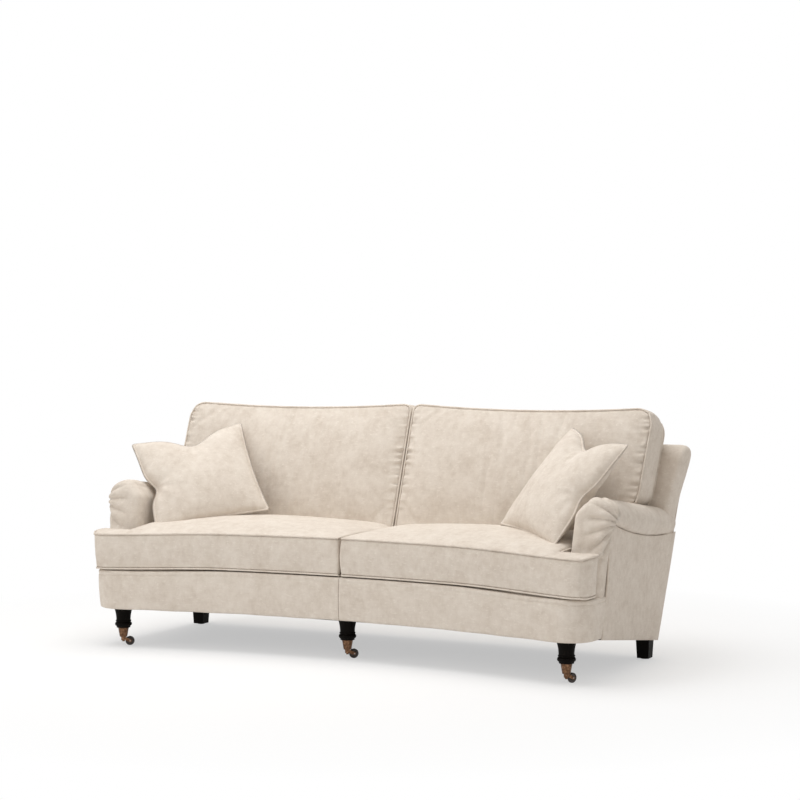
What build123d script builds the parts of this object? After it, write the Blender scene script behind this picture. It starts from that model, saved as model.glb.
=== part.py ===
from build123d import *
import os
from math import asin, cos, degrees, pi, radians, sin, sqrt

# Curved sofa with low rolled arms, loose cushions and brass castors on its front legs.
# Millimetres, +Z up, the front faces -Y. The pieces are drawn with y = 0 on the middle of
# the front face, and the whole sofa is then moved so that the origin lies under its centre.

# Plan and lean of the whole body
front_radius = 3400.0     # concave front, on the face of the border
back_radius = 12000.0     # gently curved back, on its rear face at floor level
side_foot = 982.0         # half width over the outer arm panels, at floor level
side_lean = 0.05          # outward lean of the sides, per unit of height
back_foot = 606.0         # rear face of the back at floor level, on the middle line
back_rake = 0.349         # rearward lean of the back, per unit of height
base_fall = 0.135         # fall of the underside towards the rear, per unit of depth
corner_radius = 85.0      # plan rounding of the two front corners
least_corner = 6.0        # rounding left at the front corners of the timbers
reach = 1400.0            # beyond the whole sofa in every direction

# Upholstered base and outer panels
border_bottom = 143.0
border_top = 297.0
border_wall = 22.0
panel_wall = 8.0
rear_panel_wall = 6.0
rear_panel_bottom = 66.0
dust_sheet = 1.5
leg_hole_gap = 1.0        # dust cover clear of the legs

# Timber frame
rail_wall = 32.0          # thickness of every side and front timber
rail_lift = 6.0           # underside of the timbers above the dust cover
front_rail_top = 240.0
side_rail_height = 85.0
rear_rail_height = 90.0
back_rail_depth = 42.0
back_rail_height = 60.0
back_frame_top = 700.0
middle_post_width = 44.0
arm_post_depth = 60.0
arm_rail_height = 56.0
pocket_front = 3.0        # arm post behind the front edge of the outer arm panel
block_height = 66.0
block_reach = 90.0        # half the plan of a front corner block, before it is trimmed
middle_block_depth = 135.0
rear_block_width = 126.0
centre_rail_drop = 8.0

# Webbing and sprung deck
strap_width = 60.0
strap_wall = 2.5
seat_strap_count = 15
seat_strap_in = 156.0     # outermost seat strap inside the foot of the side
seat_strap_pitch = 2 * (side_foot - seat_strap_in) / (seat_strap_count - 1)
back_strap_count = 10
back_strap_in = 127.0     # outermost back strap inside the foot of the side
back_strap_pitch = 2 * (side_foot - back_strap_in) / (back_strap_count - 1)

# Padded back
back_depth = 125.0
back_padding = 60.0
back_top = 760.0
back_top_round = 50.0     # height over which the top of the back rounds off

# Rolled arms
arm_width = 114.0         # from the foot of the side to the inner face at deck level
arm_inner = side_foot - arm_width
arm_wall = 30.0
arm_front = -20.0         # foremost point of the arm at deck level
arm_lean = 0.18           # rearward lean of the arm front, per unit of height
nose_depth = 45.0         # rounding of the arm front, measured back from its tip
roll_radius = 75.0
roll_height = 541.0       # axis of the roll at the front
roll_in = 56.0            # axis of the roll inside the side plane
roll_rear_radius = 52.0
roll_rear_height = 468.0
roll_rear_in = 40.0
roll_tuck_angle = 35.0    # where the roll turns under, below the horizontal
hollow_share = 0.55       # underside of the roll below its axis, as a share of its radius
nose_steps = [(0.0, 0.62), (0.12, 0.38), (0.38, 0.14), (1.0, 0.0)]   # shares of depth and of draw-in
seam_front = 528.0        # seam under the roll, at the arm front
seam_middle = 462.0
seam_rear = 448.0

# Loose cushions
cushion_gap = 0.4         # between a cushion and what it rests on
cover_wall = 4.0
filling_gap = 0.4
split_gap = 5.0           # between the two cushions of a pair
seat_setback = 6.0        # seat cushion face behind the border face
seat_seam = 432.0         # height of the upper front piping
seat_crown = 44.0
seat_bulge = 6.0
seat_rear_room = 5.0
seat_steps = [(0.0, 10.0, 0.15), (0.012, 3.0, 0.3), (0.035, 0.0, 0.45), (0.15, 0.0, 0.75), (0.3, 0.0, 0.95),
              (0.47, 0.0, 1.0), (0.64, 0.0, 0.9), (0.78, 0.0, 0.62), (0.88, 0.0, 0.35),
              (1.02, 0.0, 0.2)]   # share of width, draw-in of the edges, share of the crown
arm_room = 8.0            # seat cushion to arm, on the inside and at the ear
back_cushion_depth = 211.0
back_cushion_over = 3.0   # outer end beyond the foot of the side
back_cushion_reach = side_foot + back_cushion_over
back_cushion_low = 470.0
back_cushion_low_rear = 440.0
back_cushion_top = 893.0
back_cushion_top_rear = 845.0
back_cushion_bulge = 24.0
back_cushion_dip = 18.0   # sag of the top edge between its peaked corners
back_end_bulge = 0.2      # bulge left at the two ends, as a share
back_cushion_steps = [(0.0, 26.0), (0.012, 14.0), (0.035, 5.0), (0.08, 0.0), (0.28, 0.0), (0.5, 0.0),
                      (0.72, 0.0), (0.92, 0.0), (0.965, 5.0), (0.988, 14.0),
                      (1.0, 26.0)]   # share of width, draw-in of the edges
scatter_side = 415.0      # corner to corner along a side
scatter_pull = 13.0       # how far each side is drawn in between its corners
scatter_thick = 128.0
scatter_edge = 6.0
scatter_least_swell = 1.0 # swell left at the two ends of a pillow
scatter_steps = [-1.0, -0.93, -0.8, -0.55, -0.28, 0.0, 0.28, 0.55, 0.8, 0.93, 1.0]   # shares of half a side
scatter_in = 229.4        # middle of a scatter cushion inside the foot of the side
scatter_centre = (side_foot - scatter_in, 255.0, 629.8)
scatter_tilt = (-40.6, 6.6, -41.7)

# Turned front legs and square rear legs
leg_in = 88.0             # axis of an outer front leg inside the foot of the side
leg_x = side_foot - leg_in
leg_setback = 66.0
leg_top_radius = 37.0
leg_neck_radius = 26.5
leg_neck = 97.0
leg_ring_radius = 29.0
leg_ring = 93.0
leg_ring_half = 3.0
leg_bead_radius = 31.5
leg_bead = 81.0
leg_bead_half = 8.0
leg_groove_radius = 25.5
leg_hollow = 2.5          # how far the shaft curves in between its neck and its top
rear_leg_in = 35.0        # axis of a rear leg inside the foot of the side
rear_leg_x = side_foot - rear_leg_in
rear_leg_y = 556.0
rear_leg_top = 72.0
rear_leg_side = 50.0
rear_leg_foot = 43.0
glide_height = 3.0
glide_radius = 13.0
stud_radius = 5.0
stud_in_leg = 35.0
stud_in_frame = 40.0

# Brass cup castors
cup_top = 68.0
cup_bottom = 33.0
cup_top_radius = 19.5
cup_bottom_radius = 14.0
cup_wall = 1.6
cup_floor = 4.0
cup_lip = 1.2
fit_gap = 0.2
wheel_radius = 17.0
wheel_width = 11.0
wheel_trail = 24.0
wheel_hub_radius = 6.0
wheel_round = 2.5
axle_radius = 2.0
pin_radius = 2.6
pin_head_radius = 5.0
pin_bottom = 15.0
horn_top_gap = 0.5
horn_bottom = 20.0
horn_radius = 9.0
horn_boss_front = 6.75    # the boss is cut off square here, clear of the wheel
horn_cheek = 2.6
horn_cheek_gap = 0.7
horn_eye_radius = 5.5
castor_turns = {"left": 40.0, "middle": 48.0, "right": 62.0}

pieces = {}


def front_y(x, inset=0.0):
    """Depth of the concave front at x, the inset measured back from the border face."""
    return sqrt((front_radius + inset) ** 2 - x ** 2) - front_radius


def rear_y(x, z, inset=0.0):
    """Depth of the raked back at x and height z, the inset measured forward from its rear face."""
    return back_foot - back_radius + sqrt((back_radius + back_rake * z - inset) ** 2 - x ** 2)


def side_x(z, inset=0.0):
    """Half width of the leaning sides at height z."""
    return side_foot + side_lean * z - inset


def under_z(y):
    """Height of the underside, level at the front and falling to the rear."""
    return border_bottom - base_fall * max(y, 0.0)


def panel_front(z):
    """Front edge of the outer arm panel at height z."""
    return arm_front + nose_depth + arm_lean * (z - border_top)


def line(start, end):
    return Edge.make_line(start, end)


def arc(start, middle, end):
    return Edge.make_three_point_arc(start, middle, end)


def polygon(points):
    return Face(Wire.make_polygon(points, close=True))


def slab(outline, x_from, x_to):
    """Plate with a side-view outline of (y, z) points, between two values of x."""
    face = polygon([(x_from, y, z) for y, z in outline])
    return extrude(face, amount=x_to - x_from, dir=(1, 0, 0))


def group(solids):
    """Separate solids that share one node."""
    return Part() + list(solids)


def mirrored(solid):
    return solid.mirror(Plane.YZ)


def pair(name, right):
    """The right-hand piece and its mirror image."""
    pieces["right_" + name] = right
    pieces["left_" + name] = mirrored(right)


# Trimming bodies: the plan of the base, the leaning sides and the raked back
def base_block(inset, low, high):
    """Upright block with the plan of the base, rounded at its two front corners."""
    half = side_x(border_top, inset)
    corner = front_y(half, inset)
    outline = Wire([
        arc((-half, corner, low), (0, front_y(0, inset), low), (half, corner, low)),
        line((half, corner, low), (half, reach, low)),
        line((half, reach, low), (-half, reach, low)),
        line((-half, reach, low), (-half, corner, low)),
    ])
    face = Face(outline)
    corners = face.vertices().sort_by(Axis.Y)[:2]
    rounding = max(corner_radius - inset, least_corner)
    return extrude(face.fillet_2d(rounding, corners), amount=high - low, dir=(0, 0, 1))


def behind_front(inset):
    """Everything behind the concave front, at an inset from the border face."""
    half = side_foot + reach / 4
    corner = front_y(half, inset)
    outline = Wire([
        arc((-half, corner, 0), (0, front_y(0, inset), 0), (half, corner, 0)),
        line((half, corner, 0), (half, reach, 0)),
        line((half, reach, 0), (-half, reach, 0)),
        line((-half, reach, 0), (-half, corner, 0)),
    ])
    return extrude(Face(outline), amount=reach, dir=(0, 0, 1))


def between_sides(inset):
    """Everything inside the two leaning sides."""
    low = side_x(0.0, inset)
    high = side_x(reach, inset)
    face = polygon([(-low, -reach, 0), (low, -reach, 0), (high, -reach, reach), (-high, -reach, reach)])
    return extrude(face, amount=3 * reach, dir=(0, 1, 0))


back_axis = Axis((0, back_foot - back_radius, 0), (0, 0, 1))
back_sweep = 2 * degrees(asin((side_foot + reach / 4) / back_radius))


def around_back(edges):
    """Ring segment about the axis of the back, from a side-view outline on the middle line."""
    ring = revolve(Face(Wire(edges)), axis=back_axis, revolution_arc=back_sweep)
    return ring.rotate(back_axis, -back_sweep / 2)


def back_band(near, far, low, high):
    """Raked, curved band between two insets from the rear face and two heights."""
    corners = [(0, rear_y(0, low, near), low), (0, rear_y(0, high, near), high),
               (0, rear_y(0, high, far), high), (0, rear_y(0, low, far), low)]
    return around_back([line(a, b) for a, b in zip(corners, corners[1:] + corners[:1])])


def ahead_of_back(inset):
    """Everything in front of the raked back, at an inset from its rear face."""
    return back_band(inset, inset + 2 * reach, 0.0, reach)


def side_layer(outline, outer, inner):
    """Plate on the right side, in the layer between two insets from the leaning side."""
    plate = slab(outline, side_foot / 2, reach)
    return (plate & between_sides(outer)) - between_sides(inner)


timber_in = panel_wall + rail_wall
behind_border = border_wall + rail_wall
back_frame_in = rear_panel_wall + back_rail_depth
rail_bottom = border_bottom + rail_lift
corner_end = front_y(side_x(border_top) - corner_radius, corner_radius)   # rounded corner meets the side
behind_corner = slab([(corner_end, 0), (reach, 0), (reach, reach), (corner_end, reach)], -reach, reach)

# Curved front rail and the side rails that fall to the rear
front_rail = base_block(border_wall, rail_bottom, front_rail_top) - behind_front(behind_border)
pieces["front_rail"] = front_rail & between_sides(timber_in)

side_rail_outline = [
    (-reach / 4, rail_bottom),
    (0, rail_bottom),
    (reach / 2, under_z(reach / 2) + rail_lift),
    (reach / 2, under_z(reach / 2) + rail_lift + side_rail_height),
    (0, rail_bottom + side_rail_height),
    (-reach / 4, rail_bottom + side_rail_height),
]
side_rail = side_layer(side_rail_outline, panel_wall, timber_in)
side_rail &= behind_corner
side_rail &= ahead_of_back(back_frame_in)

# Rails and posts of the raked back
between_posts = between_sides(timber_in)
rear_rail_bottom = front_rail_top - rear_rail_height
back_rail_bottom = back_frame_top - back_rail_height
rear_rail = back_band(rear_panel_wall, back_frame_in, rear_rail_bottom, front_rail_top)
pieces["rear_rail"] = rear_rail & between_posts
back_top_rail = back_band(rear_panel_wall, back_frame_in, back_rail_bottom, back_frame_top)
pieces["back_top_rail"] = back_top_rail & between_posts
middle_post = back_band(rear_panel_wall, back_frame_in, front_rail_top + strap_wall, back_rail_bottom)
pieces["back_middle_post"] = middle_post & Box(middle_post_width, 3 * reach, 3 * reach)
back_post = back_band(rear_panel_wall, back_frame_in, rear_leg_top, back_frame_top)
back_post = (back_post & between_sides(panel_wall)) - between_posts
back_post &= Pos(reach / 2, 0, 0) * Box(reach, 3 * reach, 3 * reach)

# Arm posts lean with the arm front, and the arm rails run from them to the back posts
def post_front(z):
    return panel_front(z) + pocket_front


def along_roll(y):
    """Height of the roll's axis and the roll's radius, at a place along the arm."""
    share = (y - arm_front) / (roll_end - arm_front)
    height = roll_height + share * (roll_rear_height - roll_height)
    return height, roll_radius + share * (roll_rear_radius - roll_radius)


def hollow_top(y):
    """Underside of the roll, where the arm post and the arm rail meet it."""
    height, radius = along_roll(y)
    return height - hollow_share * radius


def under_roll(shift, drop=0.0):
    """Height where a line that leans with the arm front meets the underside of the roll."""
    slope = hollow_top(1.0) - hollow_top(0.0)
    return (hollow_top(post_front(0.0) + shift) - drop) / (1 - slope * arm_lean)


def on_side_rail(shift):
    """Height where a line that leans with the arm front meets the top of the side rail."""
    start = post_front(0.0) + shift
    return (rail_bottom + side_rail_height - base_fall * start) / (1 + base_fall * arm_lean)


roll_end = rear_y(side_foot, roll_rear_height)
post_outline = [
    (post_front(on_side_rail(0.0)), on_side_rail(0.0)),
    (post_front(under_roll(0.0)), under_roll(0.0)),
    (post_front(under_roll(arm_post_depth)) + arm_post_depth, under_roll(arm_post_depth)),
    (post_front(on_side_rail(arm_post_depth)) + arm_post_depth, on_side_rail(arm_post_depth)),
]
pair("arm_post", side_layer(post_outline, panel_wall, timber_in))

rail_head = under_roll(arm_post_depth)
rail_foot = under_roll(arm_post_depth, arm_rail_height)
arm_rail_outline = [
    (post_front(rail_head) + arm_post_depth, rail_head),
    (reach, hollow_top(reach)),
    (reach, hollow_top(reach) - arm_rail_height),
    (post_front(rail_foot) + arm_post_depth, rail_foot),
]
arm_rail = side_layer(arm_rail_outline, panel_wall, timber_in) & ahead_of_back(back_frame_in)
pair("arm_rail", arm_rail)

# Blocks that take the legs, and the rail between the front and rear rails
leg_y = front_y(leg_x, leg_setback)
front_block = Box(2 * block_reach, 2 * block_reach, block_height)
front_block = Pos(leg_x, leg_y, rail_bottom + block_height / 2) * front_block
front_block &= behind_front(behind_border)
front_block &= between_posts
middle_block = Box(block_reach, middle_block_depth, block_height)
middle_block = Pos(0, leg_setback, rail_bottom + block_height / 2) * middle_block
middle_block &= behind_front(behind_border)
rear_block_bottom = rear_leg_top + dust_sheet
rear_block = Box(rear_block_width, back_rail_depth, block_height)
rear_block = Pos(rear_leg_x - block_reach / 2, rear_leg_y, rear_block_bottom + block_height / 2) * rear_block
rear_block &= between_posts
rear_block &= ahead_of_back(rear_panel_wall)

centre_front = leg_setback + middle_block_depth / 2
centre_outline = [
    (centre_front, under_z(centre_front) + rail_lift),
    (reach, under_z(reach) + rail_lift),
    (reach, front_rail_top - centre_rail_drop),
    (centre_front, front_rail_top - centre_rail_drop),
]
pieces["centre_rail"] = slab(centre_outline, -rail_wall / 2, rail_wall / 2) & ahead_of_back(back_frame_in)

# Studs that hold the legs, bored into the timber above them
leg_places = {"left": (-leg_x, leg_y), "middle": (0.0, leg_setback), "right": (leg_x, leg_y)}
rear_places = {"left": (-rear_leg_x, rear_leg_y), "right": (rear_leg_x, rear_leg_y)}


def upright(radius, low, high, place):
    return Pos(place[0], place[1], (low + high) / 2) * Cylinder(radius, high - low)


rear_stud_in_leg = min(stud_in_leg, rear_leg_top / 2)
studs = [upright(stud_radius, rail_bottom - stud_in_leg, rail_bottom + stud_in_frame, place)
         for place in leg_places.values()]
studs += [upright(stud_radius, rear_leg_top - rear_stud_in_leg, rear_leg_top + stud_in_frame, place)
          for place in rear_places.values()]
pieces["leg_studs"] = group(studs)

blocks = [front_block, mirrored(front_block), middle_block, rear_block, mirrored(rear_block)]
for stud in studs:
    blocks = [block - stud for block in blocks]
    back_post -= stud
    side_rail -= stud
pieces["corner_blocks"] = group(blocks)
pair("side_rail", side_rail)
pair("back_post", back_post)

# Elastic webbing, side by side on top of the seat rails and on the front of the back rails
seat_straps = []
for number in range(seat_strap_count):
    x = (number - (seat_strap_count - 1) / 2) * seat_strap_pitch
    start = front_y(max(abs(x) - strap_width / 2, 0.0), border_wall + rail_wall / 4)
    end = rear_y(abs(x) + strap_width / 2, front_rail_top, rear_panel_wall + back_rail_depth / 4)
    strap = Box(strap_width, end - start, strap_wall)
    seat_straps.append(Pos(x, (start + end) / 2, front_rail_top + strap_wall / 2) * strap)
pieces["seat_webbing"] = group(seat_straps)

back_strap_band = back_band(back_frame_in, back_frame_in + strap_wall,
                            front_rail_top + strap_wall + rail_lift, back_frame_top - back_rail_height / 4)
back_straps = []
for number in range(back_strap_count):
    x = (number - (back_strap_count - 1) / 2) * back_strap_pitch
    back_straps.append(back_strap_band & Pos(x, 0, 0) * Box(strap_width, 3 * reach, 3 * reach))
pieces["back_webbing"] = group(back_straps)

# Padded deck that the seat cushions rest on
deck_bottom = front_rail_top + strap_wall
deck = base_block(border_wall, deck_bottom, border_top)
deck &= between_sides(timber_in)
deck &= back_band(back_depth + back_rake * (border_top - deck_bottom), 2 * reach, 0.0, reach)
pieces["seat_deck"] = deck


# Padded back: one roll of padding over the frame, hollow behind where the frame stands
def on_back(inset, z):
    return (0, rear_y(0, z, inset), z)


shoulder = back_top - back_top_round
turn_height = shoulder + back_top_round * sin(pi / 4)
turn_inset = back_depth / 2 * (1 - cos(pi / 4))
crest = on_back(back_depth / 2, back_top)
back_form = around_back([
    line(on_back(0.0, deck_bottom), on_back(0.0, shoulder)),
    arc(on_back(0.0, shoulder), on_back(turn_inset, turn_height), crest),
    arc(crest, on_back(back_depth - turn_inset, turn_height), on_back(back_depth, shoulder)),
    line(on_back(back_depth, shoulder), on_back(back_depth, deck_bottom)),
    line(on_back(back_depth, deck_bottom), on_back(0.0, deck_bottom)),
])
back_form &= between_sides(0.0)
back_hollow = back_band(-reach / 4, back_depth - back_padding, 0.0, back_frame_top)
back_hollow &= between_sides(panel_wall)

# Outer arm panels, cut along the smile-shaped seam under the roll
panel_rear_low = rear_y(side_foot, rear_panel_bottom)
panel_rear_high = rear_y(side_foot, seam_rear)
panel_middle = (panel_front(seam_front) + panel_rear_high) / 2


def panel_plate(x_from, x_to):
    foot_front = (x_from, panel_front(border_bottom), border_bottom)
    foot_bend = (x_from, 0.0, border_bottom)
    foot_rear = (x_from, panel_rear_low, under_z(panel_rear_low))
    seam_end = (x_from, panel_rear_high, seam_rear)
    seam_start = (x_from, panel_front(seam_front), seam_front)
    outline = Wire([
        line(foot_front, foot_bend),
        line(foot_bend, foot_rear),
        line(foot_rear, seam_end),
        arc(seam_end, (x_from, panel_middle, seam_middle), seam_start),
        line(seam_start, foot_front),
    ])
    return extrude(Face(outline), amount=x_to - x_from, dir=(1, 0, 0))


panel_outside = panel_plate(side_foot / 2, reach) - between_sides(panel_wall)
outer_arm_panel = panel_outside & between_sides(0.0)
pair("outer_arm_panel", outer_arm_panel & ahead_of_back(0.0))

back_pad = back_form - back_hollow - panel_outside - mirrored(panel_outside)
pieces["inside_back_pad"] = back_pad - arm_rail - mirrored(arm_rail)
outside_back = back_band(0.0, rear_panel_wall, rear_panel_bottom, back_frame_top)
pieces["outside_back_panel"] = outside_back & between_sides(panel_wall)

# Rolled arms: a rounded nose in front, then the roll running down to the back
roll_turn = radians(roll_tuck_angle)


def arm_section(y, shrink):
    """Outline of the arm in a plane that leans with the arm front."""
    height, radius = along_roll(y)
    share = (y - arm_front) / (roll_end - arm_front)
    inward = roll_in + share * (roll_rear_in - roll_in)
    axis_x = side_x(height, inward)
    radius -= shrink
    low = border_top
    inner = (arm_inner + shrink, low)
    spring = (axis_x - radius, height)
    top = (axis_x, height + radius)
    outer = (axis_x + radius, height)
    tuck = (axis_x + radius * cos(roll_turn), height - radius * sin(roll_turn))
    foot = (side_x(low, shrink), low)

    def place(point):
        return (point[0], y + arm_lean * (point[1] - border_top), point[1])

    def quarter(start, end, first_turn, last_turn):
        turn = (first_turn + last_turn) / 2
        middle = (axis_x + radius * cos(turn), height + radius * sin(turn))
        return arc(place(start), place(middle), place(end))

    return Wire([
        line(place(inner), place(spring)),
        quarter(spring, top, pi, pi / 2),
        quarter(top, outer, pi / 2, 0.0),
        quarter(outer, tuck, 0.0, -roll_turn),
        line(place(tuck), place(foot)),
        line(place(foot), place(inner)),
    ])


nose_sections = [arm_section(arm_front + depth * nose_depth, shrink * nose_depth)
                 for depth, shrink in nose_steps]
arm_form = Solid.make_loft(nose_sections + [arm_section(roll_end, 0.0)], ruled=True)
hollow_outline = [
    (post_front(border_top - rail_lift), border_top - rail_lift),
    (post_front(under_roll(0.0)), under_roll(0.0)),
    (reach, hollow_top(reach)),
    (reach, border_top - rail_lift),
]
arm_hollow = slab(hollow_outline, arm_inner + arm_wall, reach)
arm_pad = arm_form & ahead_of_back(0.0)
arm_pad = arm_pad - back_form - arm_hollow - panel_outside
pair("arm_pad", arm_pad)

# Front border in two lengths, sewn together on the middle line and returning round the corners
border = base_block(0.0, border_bottom, border_top) - base_block(border_wall, border_bottom, border_top)
border = (border & between_sides(0.0)) - (between_sides(panel_wall) & behind_corner)
border_face = [
    (-reach / 2, 0.0),
    (panel_front(0.0), 0.0),
    (panel_front(border_top), border_top),
    (-reach / 2, border_top),
]
border &= slab(border_face, -reach, reach)
border &= Pos(reach / 2, 0, 0) * Box(reach, reach, reach)
pair("front_border", border)

# Dust cover stretched under the frame, with holes for the legs
dust_outline = [
    (-reach / 4, border_bottom),
    (0, border_bottom),
    (reach, under_z(reach)),
    (reach, under_z(reach) + dust_sheet),
    (0, border_bottom + dust_sheet),
    (-reach / 4, border_bottom + dust_sheet),
]
dust = slab(dust_outline, -reach, reach) & base_block(border_wall, 0, reach)
dust = dust & between_sides(panel_wall) & ahead_of_back(rear_panel_wall)
for place in leg_places.values():
    dust -= upright(leg_top_radius + leg_hole_gap, 0, front_rail_top, place)
rear_hole = rear_leg_side + 2 * leg_hole_gap
for place in rear_places.values():
    dust -= Pos(place[0], place[1], 0) * Box(rear_hole, rear_hole, front_rail_top)
pieces["dust_cover"] = dust


# Seat cushions: crowned, with an ear in front of each arm
def seat_form(inset):
    bottom = border_top + cushion_gap + inset
    seam = seat_seam - inset
    start = split_gap / 2 + inset
    width = side_x(seat_seam) - start
    sections = []
    for share, shrink, crown in seat_steps:
        x = start + share * width
        front = front_y(x, seat_setback) + shrink + inset
        rear = rear_y(x, border_top, back_depth + seat_rear_room) - shrink - inset
        low = bottom + shrink / 2
        high = seam - shrink / 2
        middle = (low + high) / 2
        peak = high + seat_crown * crown
        sections.append(Wire([
            arc((x, front, low), (x, front - seat_bulge, middle), (x, front, high)),
            arc((x, front, high), (x, (front + rear) / 2, peak), (x, rear, high)),
            arc((x, rear, high), (x, rear + seat_rear_room / 2, middle), (x, rear, low)),
            line((x, rear, low), (x, front, low)),
        ]))
    form = Solid.make_loft(sections, ruled=True)
    form &= base_block(seat_setback - seat_bulge + inset, 0, reach)
    notch_x = arm_inner - arm_room - inset
    notch_y = arm_front - arm_room - inset
    return form - Pos(notch_x + reach / 2, notch_y + reach / 2, 0) * Box(reach, reach, 3 * reach)


def roll_top(y):
    """Top of the arm at a depth y, allowing for the lean of its sections."""
    height, radius = along_roll(y - arm_lean * (roll_height + roll_radius - border_top))
    return height + radius


# Back cushions: plump in front, peaked at the corners, stepped over the arm at the lower outer corner
def back_cushion_form(inset):
    start = split_gap / 2 + inset
    width = back_cushion_reach - inset - start
    sections = []
    for share, shrink in back_cushion_steps:
        x = start + share * width
        dip = back_cushion_dip * (1 - (2 * share - 1) ** 2)
        draw = shrink + inset
        low = back_cushion_low + draw
        low_rear = back_cushion_low_rear + draw
        top = back_cushion_top - dip - draw
        top_rear = back_cushion_top_rear - dip - draw
        ahead = back_depth + back_cushion_depth
        plump = back_cushion_bulge * (1 - (1 - back_end_bulge) * (2 * share - 1) ** 4)
        front_low = (x, rear_y(x, low, ahead) + draw, low)
        front_top = (x, rear_y(x, top, ahead) + draw, top)
        behind_top = (x, rear_y(x, top_rear, back_depth + cushion_gap) - draw, top_rear)
        behind_low = (x, rear_y(x, low_rear, back_depth + cushion_gap) - draw, low_rear)
        front_middle = (x, (front_low[1] + front_top[1]) / 2 - plump, (low + top) / 2)
        top_middle = (x, (front_top[1] + behind_top[1]) / 2, (top + top_rear) / 2 + plump / 2)
        sections.append(Wire([
            arc(front_low, front_middle, front_top),
            arc(front_top, top_middle, behind_top),
            line(behind_top, behind_low),
            line(behind_low, front_low),
        ]))
    form = Solid.make_loft(sections, ruled=True)
    step = [
        (arm_front, 0.0),
        (reach, 0.0),
        (reach, roll_top(reach) + cushion_gap + inset),
        (arm_front, roll_top(arm_front) + cushion_gap + inset),
    ]
    return form - slab(step, arm_inner - arm_room - inset, reach)


# Scatter cushions: square pillows, drawn in between their corners, leaning in the arm corners
def scatter_form(inset):
    half = scatter_side / 2 - inset
    sections = []
    for share in scatter_steps:
        x = share * (half - scatter_pull / 2)
        tall = half - scatter_pull * (1 - share ** 2)
        thick = (scatter_edge + (scatter_thick - scatter_edge) * (1 - share ** 4) ** 0.5) / 2 - inset
        edge = scatter_edge / 2 - min(inset, scatter_edge / 3)
        thick = max(thick, edge + scatter_least_swell)
        sections.append(Wire([
            line((x, edge, -tall), (x, -edge, -tall)),
            arc((x, -edge, -tall), (x, -thick, 0), (x, -edge, tall)),
            line((x, -edge, tall), (x, edge, tall)),
            arc((x, edge, tall), (x, thick, 0), (x, edge, -tall)),
        ]))
    pillow = Solid.make_loft(sections, ruled=True)
    return Pos(*scatter_centre) * Rotation(*scatter_tilt, ordering=Extrinsic.XYZ) * pillow


def covered(name, form):
    """A sewn cover and the filling inside it, on both sides of the sofa."""
    pair(name, form(0.0) - form(cover_wall))
    pair(name + "_filling", form(cover_wall + filling_gap))


covered("seat_cushion", seat_form)
covered("back_cushion", back_cushion_form)
covered("scatter_cushion", scatter_form)

# Turned front legs, each with a tapered spigot in the castor cup
spigot_top_radius = cup_top_radius - cup_wall - fit_gap
spigot_foot_radius = cup_bottom_radius - cup_wall - fit_gap
spigot_foot = cup_bottom + cup_floor + fit_gap


def leg_profile():
    taper = (leg_top_radius + leg_neck_radius) / 2 - leg_hollow
    points = [(0, spigot_foot), (spigot_foot_radius, spigot_foot), (spigot_top_radius, cup_top),
              (leg_groove_radius, cup_top), (leg_groove_radius, leg_bead - leg_bead_half)]
    bead_top = (leg_groove_radius, leg_bead + leg_bead_half)
    ring_low = (leg_groove_radius, leg_ring - leg_ring_half)
    ring_top = (leg_neck_radius, leg_ring + leg_ring_half)

    def flat(point):
        return (point[0], 0, point[1])

    edges = [line(flat(a), flat(b)) for a, b in zip(points, points[1:])]
    edges.append(arc(flat(points[-1]), (leg_bead_radius, 0, leg_bead), flat(bead_top)))
    edges.append(line(flat(bead_top), flat(ring_low)))
    edges.append(arc(flat(ring_low), (leg_ring_radius, 0, leg_ring), flat(ring_top)))
    edges.append(line(flat(ring_top), (leg_neck_radius, 0, leg_neck)))
    middle = (leg_neck + rail_bottom) / 2
    edges.append(arc((leg_neck_radius, 0, leg_neck), (taper, 0, middle), (leg_top_radius, 0, rail_bottom)))
    edges.append(line((leg_top_radius, 0, rail_bottom), (0, 0, rail_bottom)))
    edges.append(line((0, 0, rail_bottom), flat(points[0])))
    return Face(Wire(edges))


def turned(face):
    return revolve(face, axis=Axis.Z, revolution_arc=360)


front_leg = turned(leg_profile())
front_leg -= upright(stud_radius, rail_bottom - stud_in_leg, rail_bottom, (0, 0))

# Cup with a riveted pin under it, which the horn turns on
horn_top = cup_bottom - horn_top_gap
cup_face = polygon([(x, 0, z) for x, z in [
    (0, cup_bottom + cup_floor), (cup_bottom_radius - cup_wall, cup_bottom + cup_floor),
    (cup_top_radius - cup_wall, cup_top), (cup_top_radius + cup_lip, cup_top),
    (cup_top_radius + cup_lip, cup_top - 2 * cup_lip), (cup_top_radius, cup_top - 3 * cup_lip),
    (cup_bottom_radius, cup_bottom), (pin_radius, cup_bottom), (pin_radius, horn_bottom - horn_top_gap),
    (pin_head_radius, horn_bottom - horn_top_gap), (pin_head_radius, pin_bottom), (0, pin_bottom)]])
castor_cup = turned(cup_face)


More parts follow.
